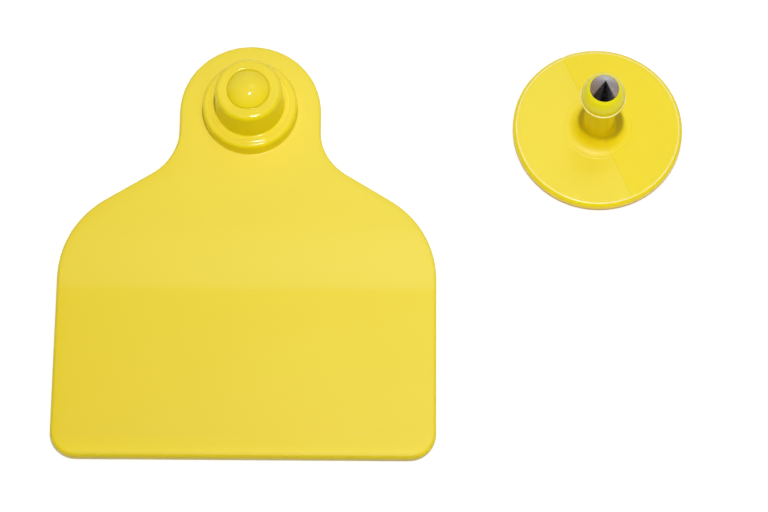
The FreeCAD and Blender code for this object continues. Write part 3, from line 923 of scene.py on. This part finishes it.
def button_tpu():
    """The button's plastic: its head greener and its stem more orange than the disc, the
    stem partly by painted shade, one half a little paler by a painted sheen, scuffs and
    painted highlights on the rims, painted shade on the disc's wall, and a painted
    contact shadow, a brown line round its foot."""
    centre = (BUTTON_X, BUTTON_Y)
    look, radius = moulded_tpu("button_tpu", centre, BUTTON_REACH, BUTTON_RING_DEPTH, 0.16, 0.16)
    worn_and_lit = look.spread(look.noise(SCUFF_AND_HIGHLIGHT_SCALE, 3), 0.3, 0.6, 0.35, 0.75)
    look.tint(look.rising(look.z, *HEAD_LOW_END), HEAD_GREEN)
    # painted sheen: the paler half of the disc's face, on one side of the parting line
    turned = look.add("ShaderNodeVectorRotate", rotation_type="Z_AXIS")
    look.feed(turned.inputs["Vector"], look.spot)
    turned.inputs["Center"].default_value = (*centre, 0)
    turned.inputs["Angle"].default_value = -PARTING_TURN
    beside = look.split(turned.outputs["Vector"])["Y"]
    half = look.falling(beside, *HALF_BORDER, 0.07)
    face = look.product(look.rising(look.z, *FACE_LOW_END), look.falling(look.z, *FACE_TOP))
    look.tint(look.product(half, face), HALF_SHEEN)
    # scuffs and a painted highlight along the disc's rim and the crest of the head's rim
    corner = look.product(look.band(radius, *SCUFF_AND_HIGHLIGHT_BAND), look.rising(look.z, *SCUFF_AND_HIGHLIGHT_LOW_END))
    look.tint(look.product(corner, worn_and_lit), SCUFFS_AND_HIGHLIGHT)
    crest = look.product(look.rising(look.z, *CREST_LOW_END, 1.1), look.rising(radius, *LEDGE_START))
    look.tint(look.product(crest, worn_and_lit), CREST_SCUFFS_AND_HIGHLIGHT)
    # the stem with its foot, more orange partly as its own colour and partly as painted shade under the head,
    # and the disc's wall
    stem = look.product(look.falling(radius, *STEM_REACH), look.falling(look.z, *STEM_TOP))
    look.tint(stem, STEM_ORANGE_AND_SHADE)
    # painted shade, deepening the disc's upright wall to orange
    wall = look.product(look.rising(radius, *WALL_START), look.falling(look.z, *WALL_TOP))
    look.tint(wall, WALL_SHADE_ORANGE)
    # the painted contact shadow, a brown line round the disc's foot
    upright = look.falling(look.math("ABSOLUTE", look.tilt()), 0.4, 0.8)
    foot = look.product(look.falling(look.z, *DISC_CONTACT_SHADOW_TOP, 0.95), upright,
                        look.rising(radius, *DISC_CONTACT_SHADOW_START))
    look.tint(foot, DISC_CONTACT_SHADOW)
    root = look.product(look.falling(radius, *ROOT_REACH), look.falling(look.z, *ROOT_TOP))
    return look.finish(look.blend(root, uneven_gloss(look, *DISC_GLOSS), ROOT_GLOSS))


def acetal():
    """The locking ring's hard plastic: off-white, dull and faintly grained."""
    look = Look("natural_acetal")
    look.colour = look.mix(look.noise(220, 3), rgba(ACETAL), rgba(ACETAL_CLOUDS))
    look.feed(look.shader.inputs["Normal"], look.bump(look.noise(2400, 2), 0.005))
    return look.finish(look.spread(look.noise(900, 3), 0.2, 0.8, *ACETAL_GLOSS))


def turned_metal():
    """The tip's grey metal, bright from the lathe, with a painted brown reflection on its sides."""
    look = Look("turned_metal")
    look.shader.inputs["Metallic"].default_value = 1.0
    look.colour = look.mix(look.noise(900, 3), rgba(METAL), rgba(METAL_CLOUDS))
    left = look.falling(look.x, *SIDE_REFLECTION_LEFT)
    right = look.rising(look.x, *SIDE_REFLECTION_RIGHT, 0.5)
    patchy = look.spread(look.noise(1300, 4, 0.7), 0.3, 0.6, 0.3, 0.95)
    # painted reflection: patchy brown on the tip's left and right sides
    look.tint(look.product(patchy, look.math("MAXIMUM", left, right)), SIDE_REFLECTION)
    return look.finish(look.spread(look.noise(1500, 4), 0.2, 0.8, *METAL_GLOSS))


# ------------------------------------------------------------- camera and light

# The camera, fitted to the photograph's perspective
LENS = 139.4
SENSOR_WIDTH = 36
VIEW_RIGHT = 2.11 * MM
VIEW_UP = -0.87 * MM
VIEW_DISTANCE = 520 * MM
VIEW_AZIMUTH = math.radians(0.35)
VIEW_ELEVATION = math.radians(70.02)
VIEW_ROLL = math.radians(0.052)


def camera():
    """A long lens, looking down at the tag from 70 degrees above the floor."""
    middle = (Vector(CAD_BOX[0]) + Vector(CAD_BOX[1])) / 2
    target = Vector((middle.x + VIEW_RIGHT, middle.y + VIEW_UP, 0))
    level = math.cos(VIEW_ELEVATION)
    offset = Vector((math.sin(VIEW_AZIMUTH) * level, -math.cos(VIEW_AZIMUTH) * level,
                     math.sin(VIEW_ELEVATION)))
    data = bpy.data.cameras.new("camera")
    data.lens = LENS
    data.sensor_width = SENSOR_WIDTH
    data.clip_start, data.clip_end = 0.01, 10
    view = new_object("camera", data)
    view.location = target + offset * VIEW_DISTANCE
    look = (-offset).to_track_quat("-Z", "Y").to_matrix()
    view.rotation_euler = (look @ Matrix.Rotation(VIEW_ROLL, 3, "Z")).to_euler()
    bpy.context.scene.camera = view


def add_lamp(name, place, target, width, depth, radiance, mirrored=True):
    """A rectangular soft lamp whose surface shines at radiance.  The camera doesn't
    see it, and the tag's gloss doesn't either unless mirrored is set."""
    lamp = bpy.data.lights.new(name, "AREA")
    lamp.shape = "RECTANGLE"
    lamp.size, lamp.size_y = width, depth
    lamp.energy = radiance * math.pi * width * depth
    holder = new_object(name, lamp)
    holder.location = place
    holder.rotation_euler = (Vector(target) - Vector(place)).to_track_quat("-Z", "Y").to_euler()
    holder.visible_camera = False
    holder.visible_glossy = mirrored


# The room's light, over the parts of a direction from -1 to 1: upwards for the overhead
# light and the backdrop's top, and away from the camera for the other two
SKY_RISE = (0.0, 0.85)
SKY_GLOW = (0.1, 0.34)
FRONT_DARK = (-0.96, -0.84)
BACKDROP_START = (0.0, 0.4)
BACKDROP_TOP = (0.5, 0.8)
BACKDROP_GLOW = 0.9

# The floor: its size and its drop below the tag in metres, and in millimetres the line
# in front where its mirror image goes dark and the distances over which its glow grows
FLOOR_SIZE = 6
FLOOR_DROP = 0.02 * MM
FLOOR_DARK = (-105, -95)
FLOOR_GLOW = (120, 240)


def pale_world():
    """Light that is dim at the horizon, brighter overhead and dark in front.  The
    camera sees white, and the tag mirrors a pale backdrop low behind it."""
    world = bpy.data.worlds.new("studio")
    bpy.context.scene.world = world
    world.use_nodes = True
    sky = Nodes(world.node_tree)
    direction = sky.split(sky.add("ShaderNodeTexCoord").outputs["Generated"])
    overhead = sky.spread(direction["Z"], *SKY_RISE, *SKY_GLOW, "SMOOTHSTEP")
    off_front = sky.spread(direction["Y"], *FRONT_DARK, 0.0, 1.0, "SMOOTHSTEP")
    behind = sky.product(sky.rising(direction["Y"], *BACKDROP_START, BACKDROP_GLOW),
                         sky.falling(direction["Z"], *BACKDROP_TOP))
    seen, mirrored = sky.ray_kinds()
    backdrop = sky.math("ADD", sky.product(mirrored, behind), seen)
    shader = world.node_tree.nodes["Background"]
    shader.inputs["Color"].default_value = (1, 1, 1, 1)
    sky.feed(shader.inputs["Strength"], sky.math("MAXIMUM", sky.product(overhead, off_front), backdrop))


def pale_floor():
    """A table that keeps the tag's shadow.  Seen directly it is white all over, and
    mirrored in the tag it goes dark in front."""
    bpy.ops.mesh.primitive_plane_add(size=FLOOR_SIZE, location=(0, 0, -FLOOR_DROP))
    floor = bpy.context.object
    floor.name = "floor"
    look = Look("floor_white")
    look.colour = look.spread(look.y, *FLOOR_DARK, 0.03, 0.9)
    lift = look.spread(look.vector("LENGTH", look.spot), *FLOOR_GLOW, 0.2, 1.0)
    seen, mirrored = look.ray_kinds()
    shown = look.product(seen, look.math("MAXIMUM", lift, look.math("SUBTRACT", 1.0, look.colour)))
    glow = look.math("ADD", shown, look.product(mirrored, look.colour, lift))
    look.feed(look.shader.inputs["Emission Strength"], glow)
    look.shader.inputs["Emission Color"].default_value = (1, 1, 1, 1)
    look.shader.inputs["Specular IOR Level"].default_value = 0.0
    floor.data.materials.append(look.finish(0.9))


def studio():
    """A white table in a white room, a small key lamp overhead, a broad fill in front
    that the gloss doesn't show, and a panel behind that it does."""
    pale_world()
    add_lamp("key_lamp", place=(0.041, -0.043, 0.512), target=(0.03, -0.02, 0),
             width=0.022, depth=0.022, radiance=1050)
    add_lamp("front_fill", place=(0.14, -0.48, 0.13), target=(0.02, -0.02, 0),
             width=0.5, depth=0.2, radiance=1.55, mirrored=False)
    add_lamp("back_panel", place=(0.16, 0.3, 0.75), target=(0.03, -0.02, 0),
             width=0.3, depth=0.24, radiance=1.6)
    pale_floor()


flag = ear_flag()
button = male_button()
tip = piercing_tip()
tip.data.materials.append(turned_metal())
flag.data.materials.append(flag_tpu())
button.data.materials.append(button_tpu())
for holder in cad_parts["locking_ring"].material_slots:
    holder.material = acetal()
bpy.context.scene.view_settings.view_transform = "Standard"
camera()
studio()
